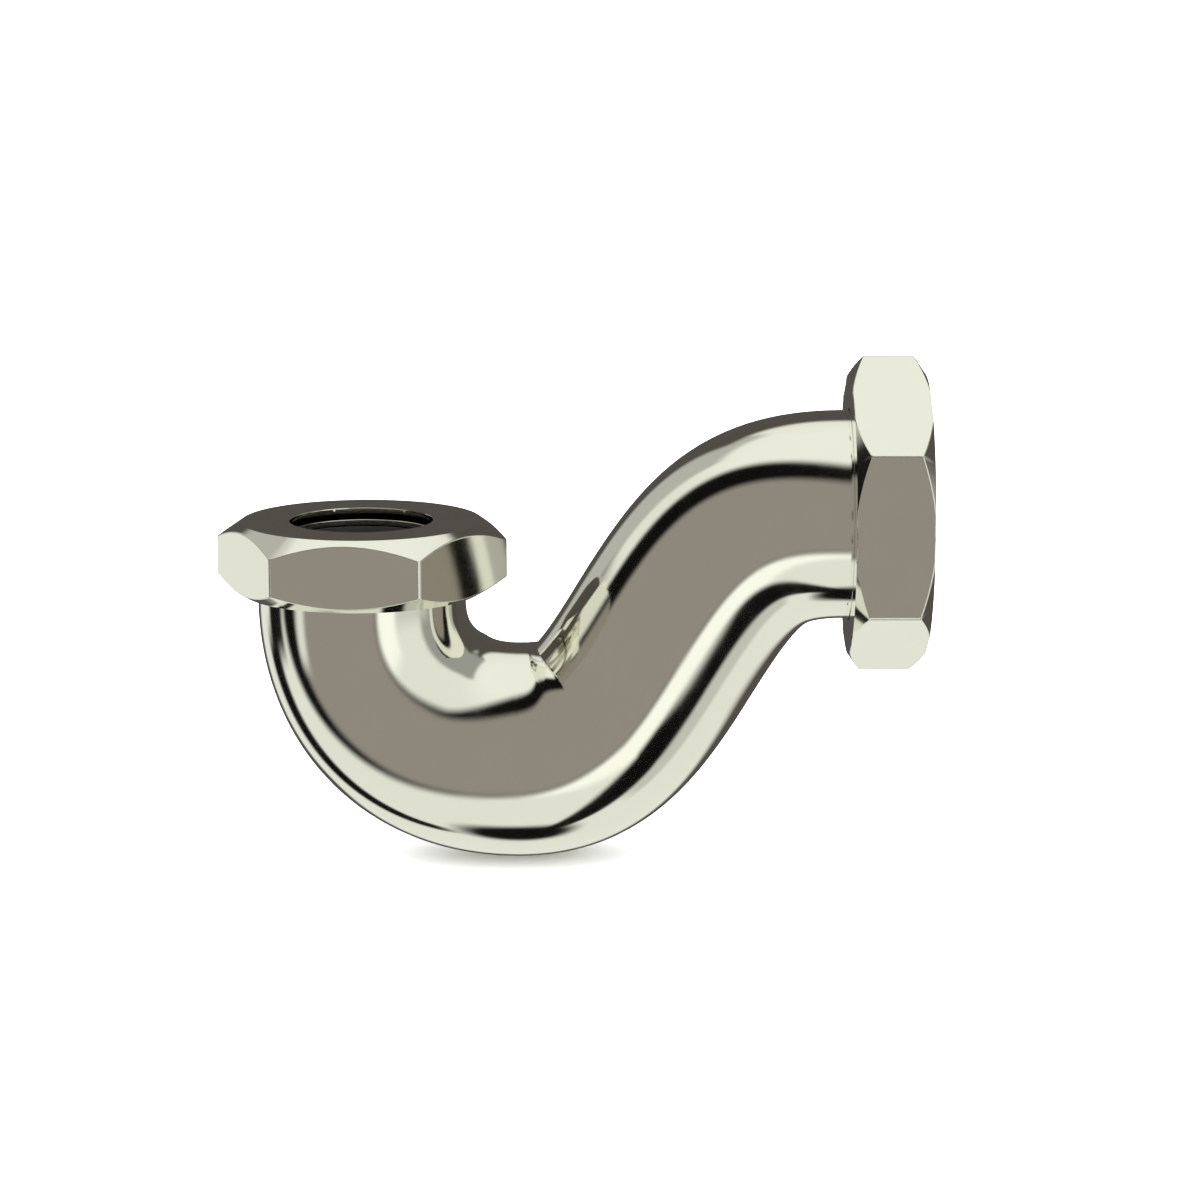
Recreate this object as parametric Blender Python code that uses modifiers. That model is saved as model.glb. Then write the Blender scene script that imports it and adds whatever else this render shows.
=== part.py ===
"""A slip-joint trap: one cast, bent body with a threaded mouth at each end, and at each
mouth a hexagon nut, a friction ring and a rubber washer.

Metres, +Z up. The origin is the centre of the inlet mouth's rim, where the tailpiece comes
down from above. The bends lie in the XZ plane, and the outlet points to +X.
"""

import math

import bmesh
import bpy
from mathutils import Matrix, Vector

MM = 0.001
COLUMNS = 36
ANGLES = [math.tau * column / COLUMNS for column in range(COLUMNS + 1)]

# Body: a round tube along three Bezier stretches, between two straight mouths.
TUBE_R = 23.7 * MM
WALL = 4.35 * MM
BORE_R = TUBE_R - WALL
LEG_DEPTH = 9.7 * MM  # straight inlet leg below the rim
BEND_LOW = Vector((35.7 * MM, 0, -46.2 * MM))  # lowest point of the centreline
SLOPE_START = Vector((68.0 * MM, 0, -21.2 * MM))  # point on the sloping run
SLOPE_ANGLE = math.radians(58.8)
OUTLET_HEIGHT = 9.7 * MM  # outlet axis above the inlet rim
OUTLET_BEND_END = 110.1 * MM
HANDLES = ((19.0 * MM, 24.8 * MM), (15.3 * MM, 19.3 * MM), (26.4 * MM, 22.3 * MM))
BEND_ROWS = (9, 11, 9)
THROAT_FLOOR = -20.6 * MM  # the inner side of the low bend is filled up to this height
THROAT_FILL = 1.9 * MM
OUTLET_RIM = 119.7 * MM

# Mouths: an inside chamfer for the washer, and a thread of 11.5 to the inch outside.
MOUTH_R = 21.3 * MM
THREAD_PITCH = 25.4 / 11.5 * MM
THREAD_DEPTH = 1.15 * MM
THREAD_CLEARANCE = 0.35 * MM
THREAD_CREST = 0.14  # part of the pitch that is flat at the crest, and at the root
THREAD_PHASES = (0.0, THREAD_CREST, 0.5, 0.5 + THREAD_CREST)
THREAD_CHAMFER = 1.2 * MM
THREAD_ENTRY = 1.7 * MM  # plain stretch at the open end of a nut, around the run-out

# Nuts, each measured along its axis from the rim of its mouth.
LIP_THICKNESS = 2.5 * MM
LIP_EDGE = 1.3 * MM  # the lip thins towards the hole
NUT_TOP = 8.4 * MM
THREAD_TOP = 1.2 * MM  # where the inside thread ends, just above the rim
INLET_NUT = {
    "skirt": 7.9 * MM,
    "corner_r": 33.4 * MM,
    "face_r": 27.3 * MM,
    "chamfer": math.radians(35),
    "low_chamfer": math.radians(31),
    "hole_r": 16.3 * MM,
    "turned": math.radians(-3.9),
}
OUTLET_NUT = {
    "skirt": 8.9 * MM,
    "corner_r": 36.4 * MM,
    "face_r": 31.9 * MM,
    "chamfer": math.radians(34),
    "low_chamfer": math.radians(34),
    "hole_r": 19.5 * MM,
    "turned": 0.0,
}

# Friction rings and washers, under the nut's lip.
FIT_GAP = 0.3 * MM
RING_THICKNESS = 1.3 * MM
RING_R = 22.4 * MM
WASHER_R = 22.5 * MM
INLET_PIPE_R = 31.75 / 2 * MM
OUTLET_PIPE_R = 38.1 / 2 * MM
INLET_NOSE = {"top_r": 20.4 * MM, "tip_r": 18.3 * MM, "depth": 3.3 * MM}
OUTLET_NOSE = {"top_r": 20.6 * MM, "tip_r": 19.4 * MM, "depth": 1.3 * MM}

NICKEL = ("polished_nickel", (0.80, 0.76, 0.69), 1.0, 0.08)
PLATED = ("ring_nickel", (0.78, 0.74, 0.66), 1.0, 0.2)
RUBBER = ("black_rubber", (0.018, 0.018, 0.018), 0.0, 0.62)


def end_frame(rim, side, out):
    """The matrix of a mouth: local +Z points out of it, and local +X to the given side."""
    across = out.cross(side)
    return Matrix.Translation(rim) @ Matrix((side, across, out)).transposed().to_4x4()


X, Y, Z = Vector((1, 0, 0)), Vector((0, 1, 0)), Vector((0, 0, 1))
INLET = end_frame(Vector((0, 0, 0)), X, Z)
OUTLET = end_frame(Vector((OUTLET_RIM, 0, OUTLET_HEIGHT)), Z, X)


def clear_scene():
    for old in list(bpy.data.objects):
        bpy.data.objects.remove(old, do_unlink=True)


def make_material(name, colour, metallic, roughness):
    material = bpy.data.materials.new(name)
    material.use_nodes = True
    shader = material.node_tree.nodes["Principled BSDF"]
    shader.inputs["Base Color"].default_value = (*colour, 1)
    shader.inputs["Metallic"].default_value = metallic
    shader.inputs["Roughness"].default_value = roughness
    material.diffuse_color = (*colour, 1)
    return material


def add_object(name, mesh, finish, frame=None):
    mesh.materials.append(make_material(f"{name}_{finish[0]}", *finish[1:]))
    piece = bpy.data.objects.new(name, mesh)
    if frame is not None:
        piece.matrix_world = frame
    parts.objects.link(piece)
    return piece


def loft(name, rows, finish, frame=None):
    """A closed solid from rows of points. The last row joins the first, and points of one
    place become one."""
    build = bmesh.new()
    grid = [[build.verts.new(point) for point in row] for row in rows]
    for row, following in zip(grid, grid[1:] + grid[:1]):
        for column in range(COLUMNS):
            corners = (row[column], row[column + 1], following[column + 1], following[column])
            build.faces.new(corners)
    bmesh.ops.remove_doubles(build, verts=build.verts, dist=0.002 * MM)
    bmesh.ops.dissolve_degenerate(build, dist=0.002 * MM, edges=build.edges)
    bmesh.ops.triangulate(build, faces=build.faces)
    bmesh.ops.recalc_face_normals(build, faces=build.faces)
    mesh = bpy.data.meshes.new(name)
    build.to_mesh(mesh)
    build.free()
    mesh.shade_smooth()
    mesh.set_sharp_from_angle(angle=math.radians(32))
    return add_object(name, mesh, finish, frame)


def turned(name, profile, finish, frame):
    """A solid of revolution about the mouth's axis, from a closed profile of radius and height
    that runs down its outer side."""
    mesh = bpy.data.meshes.new(name)
    points = [(radius, 0, height) for radius, height in profile]
    edges = [(index, (index + 1) % len(points)) for index in range(len(points))]
    mesh.from_pydata(points, edges, [])
    piece = add_object(name, mesh, finish, frame)
    screw = piece.modifiers.new("turn", "SCREW")
    screw.steps = screw.render_steps = COLUMNS
    screw.use_merge_vertices = True
    screw.merge_threshold = 0.01 * MM
    screw.use_smooth_shade = False
    return piece


def ease(value):
    value = min(max(value, 0), 1)
    return value * value * (3 - 2 * value)


# The thread


def thread_radius(height, angle):
    """Radius of the outside thread: flat crests and roots, joined by sloping flanks."""
    phase = (height / THREAD_PITCH - angle / math.tau) % 1
    flank = 0.5 - THREAD_CREST
    if phase < 0.5:
        depth = max(phase - THREAD_CREST, 0) / flank
    else:
        depth = 1 - max(phase - 0.5 - THREAD_CREST, 0) / flank
    return TUBE_R - THREAD_DEPTH * depth


def thread_rows(low, high, angles):
    """Rows of heights that climb one pitch a turn, held between two flat ends."""
    first = math.floor(low / THREAD_PITCH) - 1
    last = math.ceil(high / THREAD_PITCH) + 2
    return [
        [
            min(max(THREAD_PITCH * (turn + phase + angle / math.tau), low), high)
            for angle in angles
        ]
        for turn in range(first, last)
        for phase in THREAD_PHASES
    ]


def on_axis(height, radius, angle):
    return Vector((radius * math.cos(angle), radius * math.sin(angle), height))


def ring(height, radius, angles):
    return [on_axis(height, radius, angle) for angle in angles]


def outside_thread(length, angles):
    """Rows of the thread from its run-out at -length up to the rim, with a chamfered start."""
    rows = []
    for heights in thread_rows(-length, 0, angles):
        row = []
        for height, angle in zip(heights, angles):
            radius = thread_radius(height, angle)
            radius = min(radius, TUBE_R - THREAD_CHAMFER - height)
            radius = max(radius, TUBE_R - (height + length))
            row.append(on_axis(height, radius, angle))
        rows.append(row)
    return rows


def inside_thread(low, high, angles):
    return [
        [
            on_axis(height, thread_radius(height, angle) + THREAD_CLEARANCE, angle)
            for height, angle in zip(heights, angles)
        ]
        for heights in thread_rows(low, high, angles)
    ]


# The body


def bezier(start, start_handle, end_handle, end, t):
    s = 1 - t
    point = s**3 * start + 3 * s * s * t * start_handle + 3 * s * t * t * end_handle + t**3 * end
    slope = s * s * (start_handle - start) + 2 * s * t * (end_handle - start_handle)
    slope += t * t * (end - end_handle)
    return point, slope.normalized()


def centreline():
    """Stations along the tube from the inlet leg to the outlet: the stretch, the place along
    it from 0 to 1, the point and the direction."""
    slope = Vector((math.cos(SLOPE_ANGLE), 0, math.sin(SLOPE_ANGLE)))
    leg_end = Vector((0, 0, -LEG_DEPTH))
    bend_end = Vector((OUTLET_BEND_END, 0, OUTLET_HEIGHT))
    knots = ((leg_end, -Z), (BEND_LOW, X), (SLOPE_START, slope), (bend_end, X))
    for stretch, (count, handles) in enumerate(zip(BEND_ROWS, HANDLES)):
        (start, start_way), (end, end_way) = knots[stretch : stretch + 2]
        start_handle = start + handles[0] * start_way
        end_handle = end - handles[1] * end_way
        for row in range(1 if stretch else 0, count + 1):
            t = row / count
            yield stretch, t, *bezier(start, start_handle, end_handle, end, t)


def section(inner, outer, wall):
    """An oval ring between a point on the inner side of the bends and one on the outer side."""
    middle = (inner + outer) / 2
    half = (inner - outer) / 2
    half *= 1 - wall / half.length
    return [
        middle + half * math.cos(angle) + Y * (TUBE_R - wall) * math.sin(angle)
        for angle in ANGLES
    ]


def tube_sides():
    """Pairs of points on the inner and outer side of the bends. The low bend's inner side is
    filled: it ends in a flat floor, which meets the sloping run at a crease."""
    before = -TUBE_R
    for stretch, t, point, way in centreline():
        across = Vector((-way.z, 0, way.x))
        inner, outer = point + across * TUBE_R, point - across * TUBE_R
        if stretch == 0:
            inner += across * THROAT_FILL * ease((t - 0.12) / 0.5)
        elif stretch == 1:
            inner.x = max(inner.x, before + 0.05 * MM)
            inner.z = max(inner.z, THROAT_FLOOR)
        before = inner.x
        yield inner, outer


def mouth(frame, length, angles):
    """Rows of one end, from the tube's outside over the thread and rim into the bore."""
    rows = outside_thread(length, angles)
    rows.append(ring(0, MOUTH_R, angles))
    rows.append(ring(BORE_R - MOUTH_R, BORE_R, angles))
    return [[frame @ point for point in row] for row in rows]


def make_body():
    sides = list(tube_sides())
    backwards = [-angle for angle in ANGLES]
    rows = [section(inner, outer, 0) for inner, outer in sides]
    rows += mouth(OUTLET, OUTLET_NUT["skirt"] - FIT_GAP, backwards)
    rows += [section(inner, outer, WALL) for inner, outer in reversed(sides)]
    rows += reversed(mouth(INLET, INLET_NUT["skirt"] - FIT_GAP, ANGLES))
    return loft("trap_body", rows, NICKEL)


# The nuts


def make_nut(name, size, frame):
    """A hexagon nut with both ends chamfered, an inside thread, and a lip round its hole."""
    angles = [angle + size["turned"] for angle in ANGLES]
    top, bottom = NUT_TOP, -size["skirt"]
    inside_r = TUBE_R + THREAD_CLEARANCE
    flat_r = size["corner_r"] * math.cos(math.pi / 6)
    hexagon = []
    for angle in ANGLES:
        from_flat = (angle % (math.pi / 3)) - math.pi / 6
        radius = flat_r / math.cos(from_flat)
        cut = max(radius - size["face_r"], 0)
        hexagon.append((radius, radius - cut, cut))
    around = list(zip(hexagon, angles))
    fall, rise = math.tan(size["chamfer"]), math.tan(size["low_chamfer"])
    rows = [
        ring(top, size["hole_r"], angles),
        [on_axis(top, face, angle) for (_, face, _), angle in around],
        [on_axis(top - cut * fall, radius, angle) for (radius, _, cut), angle in around],
        [on_axis(bottom + cut * rise, radius, angle) for (radius, _, cut), angle in around],
        [on_axis(bottom, face, angle) for (_, face, _), angle in around],
    ]
    rows += [
        ring(bottom, inside_r, angles),
        ring(bottom + THREAD_ENTRY, inside_r, angles),
    ]
    rows += inside_thread(bottom + THREAD_ENTRY, THREAD_TOP, angles)
    rows += [
        ring(THREAD_TOP, inside_r, angles),
        ring(top - LIP_THICKNESS, inside_r, angles),
        ring(top - LIP_EDGE, size["hole_r"], angles),
    ]
    return loft(name, rows, NICKEL, frame)


# The friction rings and the washers


def make_friction_ring(name, pipe_r, frame):
    top = NUT_TOP - LIP_THICKNESS - FIT_GAP
    bottom = top - RING_THICKNESS
    hole_r = pipe_r + FIT_GAP
    profile = ((RING_R, top), (RING_R, bottom), (hole_r, bottom), (hole_r, top))
    return turned(name, profile, PLATED, frame)


def make_washer(name, pipe_r, nose, frame):
    """A flat flange above the rim, and a tapered nose that wedges into the mouth."""
    top = NUT_TOP - LIP_THICKNESS - RING_THICKNESS - 2 * FIT_GAP
    hole_r = pipe_r + 0.1 * MM
    profile = (
        (WASHER_R - 0.4 * MM, top),
        (WASHER_R, top - 0.4 * MM),
        (WASHER_R, FIT_GAP),
        (nose["top_r"], FIT_GAP),
        (nose["tip_r"], -nose["depth"]),
        (hole_r, -nose["depth"]),
        (hole_r, top),
    )
    return turned(name, profile, RUBBER, frame)


clear_scene()
parts = bpy.data.collections.new("p_trap")
bpy.context.scene.collection.children.link(parts)
make_body()
make_nut("inlet_nut", INLET_NUT, INLET)
make_nut("outlet_nut", OUTLET_NUT, OUTLET)
make_friction_ring("inlet_friction_ring", INLET_PIPE_R, INLET)
make_friction_ring("outlet_friction_ring", OUTLET_PIPE_R, OUTLET)
make_washer("inlet_washer", INLET_PIPE_R, INLET_NOSE, INLET)
make_washer("outlet_washer", OUTLET_PIPE_R, OUTLET_NOSE, OUTLET)
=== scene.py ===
import math

import bmesh
import bpy
from mathutils import Matrix, Vector


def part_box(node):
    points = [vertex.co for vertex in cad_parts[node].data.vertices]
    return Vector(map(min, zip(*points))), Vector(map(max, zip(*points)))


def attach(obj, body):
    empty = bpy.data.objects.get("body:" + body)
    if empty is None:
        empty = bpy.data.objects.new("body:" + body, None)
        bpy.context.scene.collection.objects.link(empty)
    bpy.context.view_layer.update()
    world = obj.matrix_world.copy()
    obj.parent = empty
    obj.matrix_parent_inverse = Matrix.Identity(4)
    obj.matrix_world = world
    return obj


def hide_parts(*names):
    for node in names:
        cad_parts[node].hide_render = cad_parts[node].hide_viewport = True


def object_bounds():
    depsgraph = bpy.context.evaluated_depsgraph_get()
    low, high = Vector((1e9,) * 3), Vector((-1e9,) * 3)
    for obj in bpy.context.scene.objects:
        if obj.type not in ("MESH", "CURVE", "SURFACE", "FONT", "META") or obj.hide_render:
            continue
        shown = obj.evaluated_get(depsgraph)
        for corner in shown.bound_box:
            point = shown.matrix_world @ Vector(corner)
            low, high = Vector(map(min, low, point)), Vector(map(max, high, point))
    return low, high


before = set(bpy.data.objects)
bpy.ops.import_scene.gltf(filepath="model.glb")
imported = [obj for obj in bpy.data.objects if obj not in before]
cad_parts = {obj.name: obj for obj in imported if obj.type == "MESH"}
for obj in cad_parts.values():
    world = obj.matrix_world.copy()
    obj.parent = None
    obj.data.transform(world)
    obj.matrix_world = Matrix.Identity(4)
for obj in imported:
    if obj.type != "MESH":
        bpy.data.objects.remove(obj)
cad_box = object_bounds()

MM = 0.001
COLUMNS = 144
ANGLES = [math.tau * column / COLUMNS for column in range(COLUMNS + 1)]
X, Y, Z = Vector((1, 0, 0)), Vector((0, 1, 0)), Vector((0, 0, 1))

# The body's sizes, as in the CAD model. The origin is the centre of the inlet mouth's rim.
BODY_LOW, BODY_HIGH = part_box("trap_body")
TUBE_R = BODY_HIGH.y
WALL = 4.35 * MM
BORE_R = TUBE_R - WALL
LEG_DEPTH = 9.7 * MM
BEND_LOW = Vector((35.7 * MM, 0, BODY_LOW.z + TUBE_R))
SLOPE_START = Vector((68.0 * MM, 0, -21.2 * MM))
SLOPE_ANGLE = math.radians(58.8)
OUTLET_HEIGHT = BODY_HIGH.z - TUBE_R
OUTLET_BEND_END = 110.1 * MM
OUTLET_RIM = BODY_HIGH.x
HANDLES = ((19.0 * MM, 24.8 * MM), (15.3 * MM, 19.3 * MM), (26.4 * MM, 22.3 * MM))
BEND_ROWS = (48, 64, 48)
THROAT_FLOOR = -20.6 * MM
THROAT_FILL = 1.9 * MM
MOUTH_R = 21.3 * MM

THREAD_PITCH = 25.4 / 11.5 * MM
THREAD_DEPTH = 1.15 * MM
THREAD_CLEARANCE = 0.35 * MM
THREAD_CREST = 0.14
THREAD_PHASES = (0, 0.07, THREAD_CREST, 0.26, 0.38, 0.5, 0.57, 0.5 + THREAD_CREST, 0.76, 0.88)
THREAD_CHAMFER = 1.2 * MM
THREAD_ENTRY = 1.7 * MM
THREAD_TOP = 1.2 * MM

LIP_THICKNESS = 2.5 * MM
LIP_EDGE = 1.3 * MM
NUT_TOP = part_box("inlet_nut")[1].z
CORNER_ROUND = 1.0 * MM  # between two flats of the hexagon
EDGE_ROUND = 0.25 * MM
RING_EDGE_ROUND = 0.2 * MM
WASHER_EDGE_ROUND = 0.12 * MM
CORNER_STEPS = 12
FLAT_STEPS = 14
THREAD_SHOWING = 0.3 * MM  # how far the thread shows past the nut; painted shade reaches half as far past it
NICKEL_WAVES = 0.004 * MM  # height of the waves that polishing leaves
MERGE = 0.001 * MM
NEAR = 0.01 * MM
SHARP_ANGLE = math.radians(24)
INLET_NUT = {
    "skirt": -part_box("inlet_nut")[0].z,
    "corner_r": 33.4 * MM,
    "face_r": 27.3 * MM,
    "chamfer": math.radians(35),
    "low_chamfer": math.radians(31),
    "hole_r": 16.3 * MM,
    "turned": math.radians(-3.9),
}
OUTLET_NUT = {
    "skirt": OUTLET_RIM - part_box("outlet_nut")[0].x,
    "corner_r": 36.4 * MM,
    "face_r": 31.9 * MM,
    "chamfer": math.radians(34),
    "low_chamfer": math.radians(34),
    "hole_r": 19.5 * MM,
    "turned": 0.0,
}

FIT_GAP = 0.3 * MM
RING_THICKNESS = 1.3 * MM
RING_R = 22.4 * MM
WASHER_R = 22.5 * MM
INLET_PIPE_R = 31.75 / 2 * MM
OUTLET_PIPE_R = 38.1 / 2 * MM
INLET_NOSE = {"top_r": 20.4 * MM, "tip_r": 18.3 * MM, "depth": 3.3 * MM}
OUTLET_NOSE = {"top_r": 20.6 * MM, "tip_r": 19.4 * MM, "depth": 1.3 * MM}


def end_frame(rim, side, out):
    """The matrix of a mouth: local +Z points out of it, and local +X to the given side."""
    across = out.cross(side)
    return Matrix.Translation(rim) @ Matrix((side, across, out)).transposed().to_4x4()


INLET = end_frame(Vector((0, 0, 0)), X, Z)
OUTLET = end_frame(Vector((OUTLET_RIM, 0, OUTLET_HEIGHT)), Z, X)


# Meshes


def loft(name, rows, frame_matrix, material, body, node, shade_painted_at=None, worn=None):
    """A closed piece from rows of points. The last row joins the first, and points of one
    place become one. The first attribute is 1 in the threads and gaps, where shade is painted
    into the colour and the metal made dull; the edge attribute is 1 along edges."""
    columns = len(rows[0]) - 1
    build = bmesh.new()
    painted_shade = build.verts.layers.float.new("painted_shade")
    edge_wear = build.verts.layers.float.new("edge")
    grid = []
    for index, row in enumerate(rows):
        grid.append([build.verts.new(frame_matrix @ point) for point in row])
        for column, (vertex, point) in enumerate(zip(grid[-1], row)):
            vertex[painted_shade] = float(shade_painted_at(point)) if shade_painted_at else 0.0
            vertex[edge_wear] = float(worn(index, column)) if worn else 0.0
    for row, following in zip(grid, grid[1:] + grid[:1]):
        for column in range(columns):
            corners = (row[column], row[column + 1], following[column + 1], following[column])
            build.faces.new(corners)
    bmesh.ops.remove_doubles(build, verts=build.verts, dist=MERGE)
    bmesh.ops.dissolve_degenerate(build, dist=MERGE, edges=build.edges)
    bmesh.ops.recalc_face_normals(build, faces=build.faces)
    mesh = bpy.data.meshes.new(name)
    build.to_mesh(mesh)
    build.free()
    mesh.shade_smooth()
    mesh.set_sharp_from_angle(angle=SHARP_ANGLE)
    mesh.materials.append(material)
    piece = bpy.data.objects.new(name, mesh)
    bpy.context.scene.collection.objects.link(piece)
    flats = piece.modifiers.new("flats_stay_flat", "WEIGHTED_NORMAL")
    flats.keep_sharp = True
    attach(piece, body)
    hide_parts(node)
    return piece


def on_axis(height, radius, angle):
    return Vector((radius * math.cos(angle), radius * math.sin(angle), height))


def ring(height, radius, angles):
    return [on_axis(height, radius, angle) for angle in angles]


def ease(value):
    value = min(max(value, 0), 1)
    return value * value * (3 - 2 * value)


# The thread


def thread_radius(height, angle):
    """Radius of the outside thread: flat crests and roots, joined by sloping flanks."""
    phase = (height / THREAD_PITCH - angle / math.tau) % 1
    flank = 0.5 - THREAD_CREST
    if phase < 0.5:
        depth = max(phase - THREAD_CREST, 0) / flank
    else:
        depth = 1 - max(phase - 0.5 - THREAD_CREST, 0) / flank
    return TUBE_R - THREAD_DEPTH * ease(depth)


def thread_rows(low, high, angles):
    """Rows of heights that climb one pitch a turn, held between two flat ends."""
    first = math.floor(low / THREAD_PITCH) - 1
    last = math.ceil(high / THREAD_PITCH) + 2
    return [
        [
            min(max(THREAD_PITCH * (turn + phase + angle / math.tau), low), high)
            for angle in angles
        ]
        for turn in range(first, last)
        for phase in THREAD_PHASES
    ]


def outside_thread(length, angles):
    """Rows of the thread from its run-out at -length up to the rim, with a chamfered start."""
    rows = []
    for heights in thread_rows(-length, 0, angles):
        row = []
        for height, angle in zip(heights, angles):
            radius = thread_radius(height, angle)
            radius = min(radius, TUBE_R - THREAD_CHAMFER - height)
            radius = max(radius, TUBE_R - (height + length))
            row.append(on_axis(height, radius, angle))
        rows.append(row)
    return rows


def inside_thread(low, high, angles):
    return [
        [
            on_axis(height, thread_radius(height, angle) + THREAD_CLEARANCE, angle)
            for height, angle in zip(heights, angles)
        ]
        for heights in thread_rows(low, high, angles)
    ]


# The body


def bezier(start, start_handle, end_handle, end, t):
    s = 1 - t
    point = s**3 * start + 3 * s * s * t * start_handle + 3 * s * t * t * end_handle + t**3 * end
    slope = s * s * (start_handle - start) + 2 * s * t * (end_handle - start_handle)
    slope += t * t * (end - end_handle)
    return point, slope.normalized()


def centreline():
    """Stations along the tube from the inlet leg to the outlet: the stretch, the place along
    it from 0 to 1, the point and the direction."""
    slope = Vector((math.cos(SLOPE_ANGLE), 0, math.sin(SLOPE_ANGLE)))
    leg_end = Vector((0, 0, -LEG_DEPTH))
    bend_end = Vector((OUTLET_BEND_END, 0, OUTLET_HEIGHT))
    knots = ((leg_end, -Z), (BEND_LOW, X), (SLOPE_START, slope), (bend_end, X))
    for stretch, (count, handles) in enumerate(zip(BEND_ROWS, HANDLES)):
        (start, start_way), (end, end_way) = knots[stretch : stretch + 2]
        start_handle = start + handles[0] * start_way
        end_handle = end - handles[1] * end_way
        for row in range(1 if stretch else 0, count + 1):
            t = row / count
            yield stretch, t, *bezier(start, start_handle, end_handle, end, t)


def section(inner, outer, wall):
    """An oval ring between a point on the inner side of the bends and one on the outer side."""
    middle = (inner + outer) / 2
    half = (inner - outer) / 2
    half *= 1 - wall / half.length
    return [
        middle + half * math.cos(angle) + Y * (TUBE_R - wall) * math.sin(angle)
        for angle in ANGLES
    ]


def tube_sides():
    """Pairs of points on the inner and outer side of the bends. The low bend's inner side is
    filled: it ends in a flat floor, which meets the sloping run at a crease."""
    before = -TUBE_R
    for stretch, t, point, way in centreline():
        across = Vector((-way.z, 0, way.x))
        inner, outer = point + across * TUBE_R, point - across * TUBE_R
        if stretch == 0:
            inner += across * THROAT_FILL * ease((t - 0.12) / 0.5)
        elif stretch == 1:
            inner.x = max(inner.x, before + NEAR)
            inner.z = max(inner.z, THROAT_FLOOR)
        before = inner.x
        yield inner, outer


def mouth(end, length, angles):
    """Rows of one end, from the tube's outside over the thread and rim into the bore."""
    rows = [ring(-length - THREAD_SHOWING, TUBE_R, angles)]
    rows += outside_thread(length, angles)
    rows.append(ring(0, MOUTH_R, angles))
    rows.append(ring(BORE_R - MOUTH_R, BORE_R, angles))
    return [[end @ point for point in row] for row in rows]


def body_rows():
    sides = list(tube_sides())
    backwards = [-angle for angle in ANGLES]
    rows = [section(inner, outer, 0) for inner, outer in sides]
    rows += mouth(OUTLET, OUTLET_NUT["skirt"] - FIT_GAP, backwards)
    rows += [section(inner, outer, WALL) for inner, outer in reversed(sides)]
    rows += reversed(mouth(INLET, INLET_NUT["skirt"] - FIT_GAP, ANGLES))
    return rows


# The nuts


def hexagon_columns(corner_r):
    """Angle and radius round a hexagon whose corners are rounded, with most of the points on
    the corners."""
    flat_r = corner_r * math.cos(math.pi / 6)
    centre_r = (flat_r - CORNER_ROUND) / math.cos(math.pi / 6)
    points = []
    for corner in range(6):
        towards = corner * math.pi / 3
        centre = Vector((math.cos(towards), math.sin(towards))) * centre_r
        for step in range(CORNER_STEPS + 1):
            way = towards + (2 * step / CORNER_STEPS - 1) * math.pi / 6
            points.append(centre + Vector((math.cos(way), math.sin(way))) * CORNER_ROUND)
        reach = corner_r / 2 - CORNER_ROUND * math.tan(math.pi / 6)
        middle = towards + math.pi / 6
        along = Vector((-math.sin(middle), math.cos(middle)))
        flat = Vector((math.cos(middle), math.sin(middle))) * flat_r
        for step in range(1, FLAT_STEPS):
            points.append(flat + along * reach * (2 * step / FLAT_STEPS - 1))
    points.append(points[0])
    angles = [math.atan2(point.y, point.x) for point in points]
    for index in range(1, len(angles)):
        angles[index] += math.tau * round((angles[index - 1] - angles[index]) / math.tau)
    angles[-1] = angles[0] + math.tau
    return angles, [point.length for point in points]


def curve_past(one, corner, two):
    """Four points of a curve from one to two that the corner between them pulls outwards."""
    return [
        one * (1 - t) ** 2 + corner * 2 * t * (1 - t) + two * t * t
        for t in (0, 0.3, 0.7, 1)
    ]


def rounded(before, corner, after):
    """Four points that round a corner of the nut's outline, as radius and height."""
    one = corner + (before - corner).normalized() * min(EDGE_ROUND, (before - corner).length)
    two = corner + (after - corner).normalized() * EDGE_ROUND
    return curve_past(one, corner, two)


def nut_outline(radius, size):
    """Radius and height down the outside of the nut at one angle, from the hole's edge."""
    top, bottom = NUT_TOP, -size["skirt"]
    face = min(radius, size["face_r"])
    cut = radius - face
    hole = size["hole_r"]
    upper = Vector((radius, top - cut * math.tan(size["chamfer"])))
    lower = Vector((radius, bottom + cut * math.tan(size["low_chamfer"])))
    if cut == 0:
        upper_face = Vector((face - EDGE_ROUND, top))
        lower_face = Vector((face - EDGE_ROUND, bottom))
    else:
        upper_face, lower_face = Vector((face, top)), Vector((face, bottom))
    middle = (upper + lower) / 2
    part = 0.3 * EDGE_ROUND
    points = [Vector((hole, top - EDGE_ROUND)), Vector((hole + part, top - part))]
    points += [Vector((hole + EDGE_ROUND, top)), upper_face]
    points += rounded(upper_face, upper, middle)
    points += rounded(middle, lower, lower_face)
    points += [lower_face]
    return points


def nut_rows(size):
    columns, radii = hexagon_columns(size["corner_r"])
    angles = [angle + size["turned"] for angle in columns]
    bottom = -size["skirt"]
    inside_r = TUBE_R + THREAD_CLEARANCE
    outlines = [nut_outline(radius, size) for radius in radii]
    rows = [
        [on_axis(point.y, point.x, angle) for point, angle in zip(points, angles)]
        for points in zip(*outlines)
    ]
    rows += [
        ring(bottom, inside_r + EDGE_ROUND, angles),
        ring(bottom + EDGE_ROUND, inside_r, angles),
        ring(bottom + THREAD_ENTRY, inside_r, angles),
    ]
    rows += inside_thread(bottom + THREAD_ENTRY, THREAD_TOP, angles)
    rows += [
        ring(THREAD_TOP, inside_r, angles),
        ring(NUT_TOP - LIP_THICKNESS, inside_r, angles),
        ring(NUT_TOP - LIP_EDGE, size["hole_r"] + EDGE_ROUND, angles),
        ring(NUT_TOP - LIP_EDGE + EDGE_ROUND, size["hole_r"], angles),
    ]
    return rows


# The friction rings and washers


def turned_rows(profile):
    return [ring(height, radius, ANGLES) for radius, height in profile]


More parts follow.
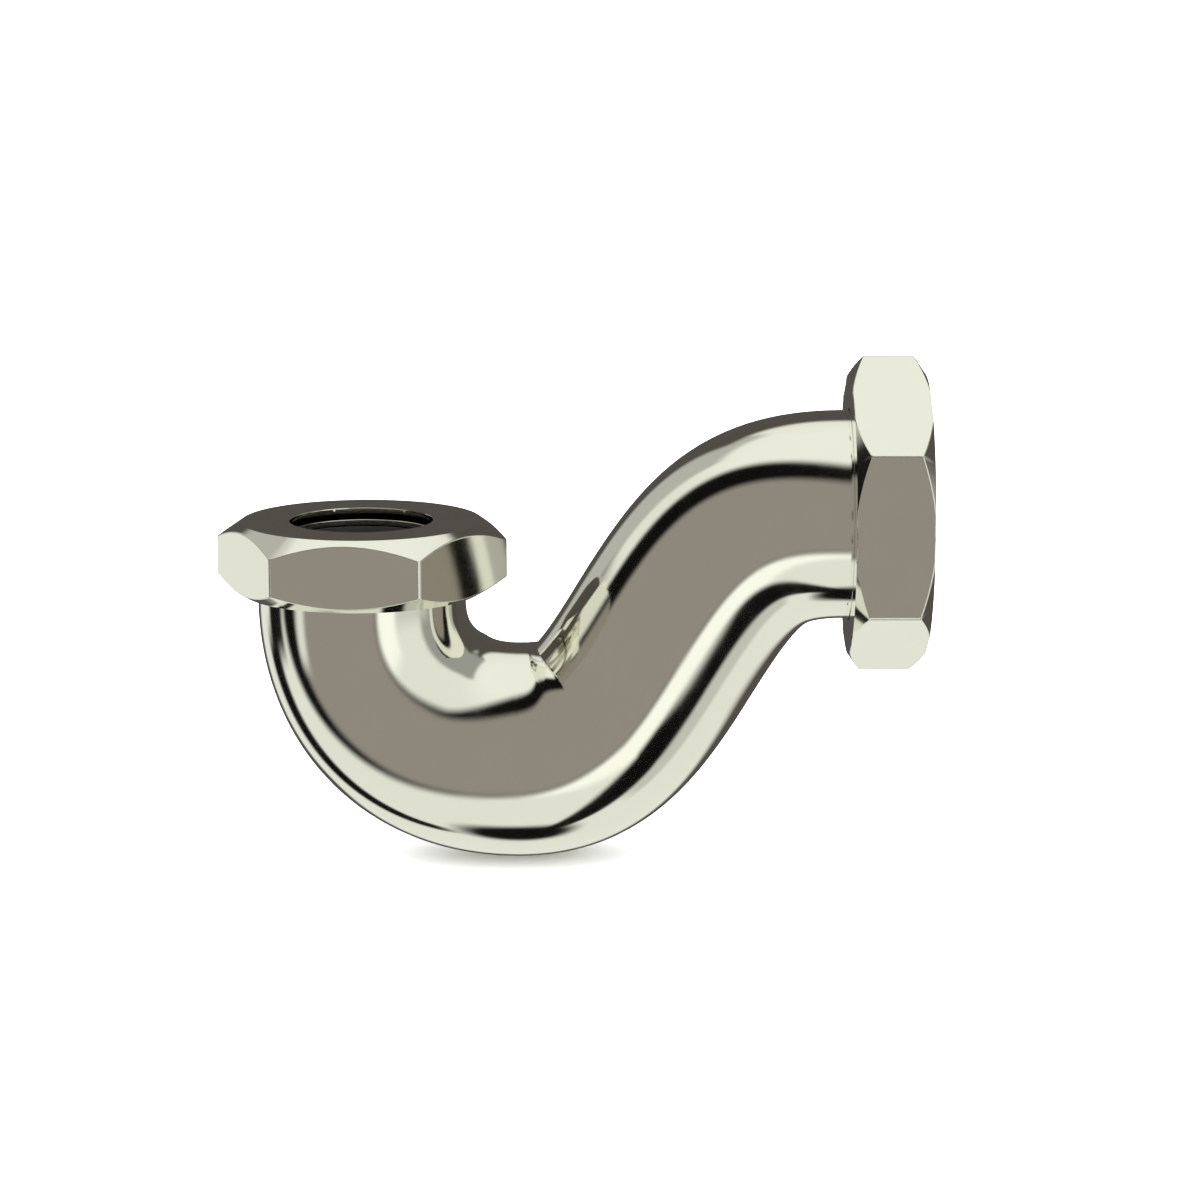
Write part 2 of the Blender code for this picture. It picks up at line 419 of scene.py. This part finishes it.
def softened(profile, radius):
    """The closed profile with each corner rounded."""
    points = [Vector(point) for point in profile]
    soft = []
    for index, corner in enumerate(points):
        before, after = points[index - 1], points[(index + 1) % len(points)]
        one = corner + (before - corner).normalized() * radius
        two = corner + (after - corner).normalized() * radius
        soft += curve_past(one, corner, two)
    return soft


def friction_ring_rows(pipe_r):
    top = NUT_TOP - LIP_THICKNESS - FIT_GAP
    bottom = top - RING_THICKNESS
    hole_r = pipe_r + FIT_GAP
    profile = ((RING_R, top), (RING_R, bottom), (hole_r, bottom), (hole_r, top))
    return turned_rows(softened(profile, RING_EDGE_ROUND))


def washer_rows(pipe_r, nose):
    top = NUT_TOP - LIP_THICKNESS - RING_THICKNESS - 2 * FIT_GAP
    hole_r = pipe_r + 0.1 * MM
    profile = (
        (WASHER_R - 0.4 * MM, top),
        (WASHER_R, top - 0.4 * MM),
        (WASHER_R, FIT_GAP),
        (nose["top_r"], FIT_GAP),
        (nose["tip_r"], -nose["depth"]),
        (hole_r, -nose["depth"]),
        (hole_r, top),
    )
    return turned_rows(softened(profile, WASHER_EDGE_ROUND))


# Materials


def new_node(tree, kind, **settings):
    """A node with its properties set, and its inputs set or linked by name."""
    node = tree.nodes.new("ShaderNode" + kind)
    inputs = settings.pop("inputs", {})
    for name, value in settings.items():
        setattr(node, name, value)
    for name, value in inputs.items():
        if isinstance(value, bpy.types.NodeSocket):
            tree.links.new(value, node.inputs[name])
        else:
            node.inputs[name].default_value = value
    return node


def maths(tree, operation, *values):
    return new_node(tree, "Math", operation=operation, inputs=dict(enumerate(values))).outputs[0]


def soft_step(tree, value, start, end, low=0.0, high=1.0):
    """Rises smoothly from low at start to high at end."""
    inputs = {"Value": value, "From Min": start, "From Max": end, "To Min": low, "To Max": high}
    step = new_node(tree, "MapRange", interpolation_type="SMOOTHSTEP", inputs=inputs)
    return step.outputs["Result"]


def noise(tree, place, per_metre, detail=2.0, stretch=(1, 1, 1)):
    scaled = new_node(tree, "Mapping", inputs={"Vector": place, "Scale": stretch})
    inputs = {"Vector": scaled.outputs[0], "Scale": per_metre, "Detail": detail}
    return new_node(tree, "TexNoise", inputs=inputs).outputs[0]


def blend_colour(tree, factor, one, two):
    node = new_node(tree, "Mix", data_type="RGBA")
    sockets = [socket for socket in node.inputs if socket.enabled]
    for socket, value in zip(sockets, (factor, one, two)):
        if isinstance(value, bpy.types.NodeSocket):
            tree.links.new(value, socket)
        else:
            socket.default_value = value
    return next(socket for socket in node.outputs if socket.enabled)


def blank_material(name):
    material = bpy.data.materials.new(name)
    material.use_nodes = True
    tree = material.node_tree
    place = new_node(tree, "TexCoord").outputs["Object"]
    return material, tree, tree.nodes["Principled BSDF"], place


def grey(value):
    return (value, value, value, 1)


def nickel_material():
    material, tree, shader, place = blank_material("polished_nickel")
    clouds = noise(tree, place, 45, 3)
    fine = noise(tree, place, 2600, 2)
    smears = soft_step(tree, noise(tree, place, 130, 4, (1, 1, 0.35)), 0.45, 0.75)
    wear = new_node(tree, "Attribute", attribute_name="edge").outputs["Fac"]
    shade_mask = new_node(tree, "Attribute", attribute_name="painted_shade").outputs["Fac"]
    colour = blend_colour(tree, clouds, (0.865, 0.86, 0.78, 1), (0.895, 0.89, 0.82, 1))
    # Painted shade: in the threads and the gaps round the nuts the colour is painted nearly
    # black.
    colour = blend_colour(tree, shade_mask, colour, (0.07, 0.055, 0.045, 1))
    tree.links.new(colour, shader.inputs["Base Color"])
    rough = maths(tree, "MULTIPLY_ADD", clouds, 0.03, 0.045)
    rough = maths(tree, "MULTIPLY_ADD", fine, 0.02, rough)
    rough = maths(tree, "MULTIPLY_ADD", smears, 0.035, rough)
    rough = maths(tree, "MULTIPLY_ADD", maths(tree, "MULTIPLY", wear, fine), 0.25, rough)
    rough = maths(tree, "MULTIPLY_ADD", shade_mask, 0.5, rough)
    tree.links.new(rough, shader.inputs["Roughness"])
    shader.inputs["Metallic"].default_value = 1.0
    waves = noise(tree, place, 160, 2)
    scratches = noise(tree, place, 900, 3, (1, 1, 0.05))
    height = maths(tree, "MULTIPLY_ADD", scratches, 0.04, waves)
    inputs = {"Height": height, "Strength": 1.0, "Distance": NICKEL_WAVES}
    tree.links.new(new_node(tree, "Bump", inputs=inputs).outputs[0], shader.inputs["Normal"])
    return material


def plate_material():
    material, tree, shader, place = blank_material("ring_nickel")
    fine = noise(tree, place, 1800, 3)
    colour = blend_colour(tree, fine, (0.74, 0.70, 0.61, 1), (0.82, 0.79, 0.70, 1))
    tree.links.new(colour, shader.inputs["Base Color"])
    tree.links.new(soft_step(tree, fine, 0.2, 0.8, 0.14, 0.26), shader.inputs["Roughness"])
    shader.inputs["Metallic"].default_value = 1.0
    return material


def rubber_material():
    material, tree, shader, place = blank_material("black_rubber")
    fine = noise(tree, place, 3000, 4)
    colour = blend_colour(tree, fine, (0.012, 0.012, 0.012, 1), (0.026, 0.025, 0.024, 1))
    tree.links.new(colour, shader.inputs["Base Color"])
    tree.links.new(soft_step(tree, fine, 0.2, 0.8, 0.5, 0.75), shader.inputs["Roughness"])
    return material


def floor_material():
    material, _, shader, _ = blank_material("floor_white")
    shader.inputs["Base Color"].default_value = grey(0.9)
    shader.inputs["Roughness"].default_value = 0.8
    return material


# Where shade is painted into the nickel's colour, and where its edges are worn


def shade_painted_on_body(point):
    """True on the threads and rims of the two mouths, where shade is painted into the colour."""
    for end, size in ((INLET, INLET_NUT), (OUTLET, OUTLET_NUT)):
        local = end.inverted() @ point
        on_wall = MOUTH_R - NEAR < local.xy.length < TUBE_R + NEAR
        if on_wall and local.z > FIT_GAP - size["skirt"] - 0.5 * THREAD_SHOWING:
            return True
    return False


def worn_on_nut(row, column):
    """True on the rounded edges of a nut, whose outline comes first in its rows."""
    hole_edge, upper_edge, lower_edge = (1,), (5, 6), (9, 10)
    on_rounding = row in hole_edge + upper_edge + lower_edge
    place = column % (CORNER_STEPS + FLAT_STEPS)
    on_corner = 4 <= row <= 11 and 2 <= place <= CORNER_STEPS - 2
    return on_rounding or on_corner


def shade_painted_in_nut(point):
    """True on the thread and under the lip, where shade is painted into the colour."""
    inside = point.xy.length < TUBE_R + THREAD_CLEARANCE + NEAR
    return inside and point.z < NUT_TOP - LIP_EDGE + NEAR


# The pieces

nickel, plate, rubber = nickel_material(), plate_material(), rubber_material()
rows, still = body_rows(), Matrix.Identity(4)
loft("body_casting", rows, still, nickel, "trap", "trap_body", shade_painted_on_body)
for side, size, end, pipe_r, nose in (
    ("inlet", INLET_NUT, INLET, INLET_PIPE_R, INLET_NOSE),
    ("outlet", OUTLET_NUT, OUTLET, OUTLET_PIPE_R, OUTLET_NOSE),
):
    nut_node, ring_node, seal_node = f"{side}_nut", f"{side}_friction_ring", f"{side}_washer"
    rows = nut_rows(size)
    name = f"{side}_hexagon_nut"
    loft(name, rows, end, nickel, nut_node, nut_node, shade_painted_in_nut, worn_on_nut)
    rows = friction_ring_rows(pipe_r)
    loft(f"{side}_ring", rows, end, plate, f"{side}_ring", ring_node)
    rows = washer_rows(pipe_r, nose)
    loft(f"{side}_seal", rows, end, rubber, seal_node, seal_node)


# The camera and the floor

CAMERA_TARGET = Vector((54.36 * MM, 0, -10.27 * MM))
CAMERA_DISTANCE = 847.4 * MM
CAMERA_RISE = math.radians(11.18)
CAMERA_SENSOR = 36
CAMERA_LENS = 111.16
FLOOR_REACH = 4


def add_camera():
    camera = bpy.data.objects.new("camera", bpy.data.cameras.new("camera"))
    bpy.context.scene.collection.objects.link(camera)
    bpy.context.scene.camera = camera
    back = Vector((0, -math.cos(CAMERA_RISE), math.sin(CAMERA_RISE)))
    camera.location = CAMERA_TARGET + back * CAMERA_DISTANCE
    camera.rotation_mode = "QUATERNION"
    camera.rotation_quaternion = (-back).to_track_quat("-Z", "Y")
    camera.data.sensor_width = CAMERA_SENSOR
    camera.data.lens = CAMERA_LENS
    camera.data.clip_start = 0.05
    camera.data.clip_end = 20


def add_floor():
    """A white floor at the foot of the object. The polish doesn't reflect it."""
    corners = [
        (-FLOOR_REACH, -FLOOR_REACH, 0),
        (FLOOR_REACH, -FLOOR_REACH, 0),
        (FLOOR_REACH, FLOOR_REACH, 0),
        (-FLOOR_REACH, FLOOR_REACH, 0),
    ]
    mesh = bpy.data.meshes.new("floor")
    mesh.from_pydata(corners, [], [(0, 1, 2, 3)])
    mesh.materials.append(floor_material())
    floor = bpy.data.objects.new("floor", mesh)
    bpy.context.scene.collection.objects.link(floor)
    floor.location.z = cad_box[0].z
    floor.visible_glossy = False


add_camera()
add_floor()

# The studio

CARD_EDGE = 4  # a card fades out over this many degrees, on both sides of its edge
BACKDROP_WHITE = 3.0


def cloth(level):
    """The slightly green white of the tent's cloth, at that brightness."""
    return (0.98 * level, level, 0.92 * level, 1)


def board(level):
    """The brownish grey of the unlit boards and of the room behind the camera."""
    return (1.1 * level, level, 0.9 * level, 1)


def studio_world():
    """A pale tent round the object, with a few cards and flags that its polish reflects.
    Azimuth is in degrees from the camera's side towards +X, and rise is above the horizon."""
    world = bpy.data.worlds.new("studio")
    world.use_nodes = True
    tree = world.node_tree
    way = new_node(tree, "TexCoord").outputs["Generated"]
    parts = new_node(tree, "SeparateXYZ", inputs={0: way}).outputs
    forward = maths(tree, "MULTIPLY", parts[1], -1.0)
    azimuth = maths(tree, "DEGREES", maths(tree, "ARCTAN2", parts[0], forward))
    rise = maths(tree, "DEGREES", maths(tree, "ARCSINE", parts[2]))

    def inside(distance, reach):
        """1 within that reach in degrees, and 0 past it."""
        return soft_step(tree, distance, reach + CARD_EDGE, reach - CARD_EDGE)

    def round_card(turn, up, radius):
        """1 inside a card that covers that radius in degrees round a direction."""
        turn, up = math.radians(turn), math.radians(up)
        centre = (math.sin(turn) * math.cos(up), -math.cos(turn) * math.cos(up), math.sin(up))
        facing = new_node(tree, "VectorMath", operation="DOT_PRODUCT", inputs={0: way, 1: centre})
        cosine = maths(tree, "MINIMUM", facing.outputs["Value"], 1.0)
        return inside(maths(tree, "DEGREES", maths(tree, "ARCCOSINE", cosine)), radius)

    def card(turn, up, half_width, half_height):
        """1 inside a card that spans those half widths of azimuth and rise, in degrees."""
        off = maths(tree, "WRAP", maths(tree, "SUBTRACT", azimuth, turn), 180.0, -180.0)
        across = inside(maths(tree, "ABSOLUTE", off), half_width)
        off = maths(tree, "ABSOLUTE", maths(tree, "SUBTRACT", rise, up))
        return maths(tree, "MULTIPLY", across, inside(off, half_height))

    # Each later layer covers the ones before it.
    layers = {
        "ceiling": (soft_step(tree, rise, 35, 70), cloth(0.95)),
        "right_wall": (card(100, 15, 30, 40), cloth(0.35)),
        "left_wall": (card(-140, 25, 20, 30), cloth(0.5)),
        "back_wall": (card(165, 5, 45, 40), board(0.08)),
        "left_post": (card(-110, 0, 12, 20), board(0.01)),
        "front_cloth": (card(20, -20, 20, 20), cloth(1.1)),
        "opening_edge": (round_card(-38, 12, 61), board(0.005)),
        "opening": (round_card(-30, 5, 50), board(0.28)),
        "strip_light": (card(-70, -12, 5, 10), cloth(0.8)),
        "table_right": (card(60, -35, 20, 25), cloth(0.6)),
        "table_shadow": (card(45, -70, 15, 40), board(0.005)),
        "table_middle": (round_card(0, -90, 12), board(0.005)),
        "left_flag": (card(-120, -45, 10, 30), board(0.005)),
    }
    colour = cloth(0.85)
    for mask, shade in layers.values():
        colour = blend_colour(tree, mask, colour, shade)
    reflected = new_node(tree, "LightPath").outputs["Is Glossy Ray"]
    colour = blend_colour(tree, reflected, grey(1.0), colour)
    background = tree.nodes["Background"]
    tree.links.new(colour, background.inputs["Color"])
    strength = maths(tree, "MULTIPLY_ADD", reflected, 1 - BACKDROP_WHITE, BACKDROP_WHITE)
    tree.links.new(strength, background.inputs["Strength"])
    # Sampled as a lamp, the white backdrop would lighten the darkest reflections a little.
    world.cycles.sampling_method = "NONE"
    bpy.context.scene.world = world


studio_world()
bpy.context.scene.view_settings.view_transform = "Standard"
